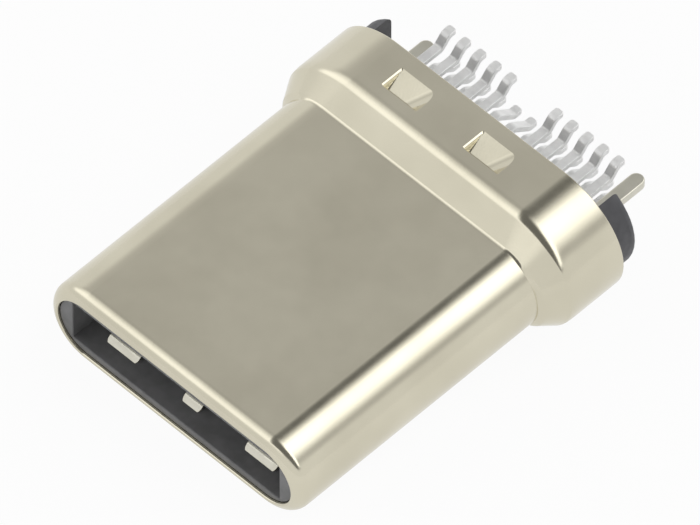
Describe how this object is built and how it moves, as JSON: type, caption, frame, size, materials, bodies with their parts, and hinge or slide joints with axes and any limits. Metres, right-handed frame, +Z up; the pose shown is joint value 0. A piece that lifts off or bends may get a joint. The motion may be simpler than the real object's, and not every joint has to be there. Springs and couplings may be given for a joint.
{
  "type": "usb-c connector",
  "caption": "Reversible data and power plug for the edge of a circuit board: oval drawn steel nose, stepped collar, black insulators, sprung contacts and flared solder tails.",
  "frame": {"origin": "centre of the mating face, the front plane of the mouth", "axes": "+X along the mouth's width, +Y back towards the solder tails, +Z up; the plug enters its receptacle along -Y"},
  "size_m": [0.0092, 0.0122, 0.0036],
  "materials": {
    "shell_steel": "warm satin nickel plating on drawn steel",
    "spring_steel": "satin nickel-plated spring steel",
    "contact_metal": "tinned copper alloy strip",
    "black_plastic": "moulded black insulator",
    "grey_plastic": "moulded dark grey insulator",
    "amber_film": "amber insulating film"
  },
  "bodies": {
    "root": {"outer_shell": "shell_steel", "front_insulator": "black_plastic", "rear_insulator": "grey_plastic", "latch_plate": "spring_steel", "upper_spring": "spring_steel", "lower_spring": "spring_steel", "upper_film": "amber_film", "lower_film": "amber_film", "upper_carrier": "black_plastic", "lower_carrier": "black_plastic", "upper_contact_1": "contact_metal", "upper_contact_2": "contact_metal", "upper_contact_3": "contact_metal", "upper_contact_4": "contact_metal", "upper_contact_5": "contact_metal", "upper_contact_8": "contact_metal", "upper_contact_9": "contact_metal", "upper_contact_10": "contact_metal", "upper_contact_11": "contact_metal", "upper_contact_12": "contact_metal", "lower_contact_1": "contact_metal", "lower_contact_2": "contact_metal", "lower_contact_3": "contact_metal", "lower_contact_4": "contact_metal", "lower_contact_5": "contact_metal", "lower_contact_6": "contact_metal", "lower_contact_7": "contact_metal", "lower_contact_8": "contact_metal", "lower_contact_9": "contact_metal", "lower_contact_10": "contact_metal", "lower_contact_11": "contact_metal", "lower_contact_12": "contact_metal"}
  },
  "joints": []
}
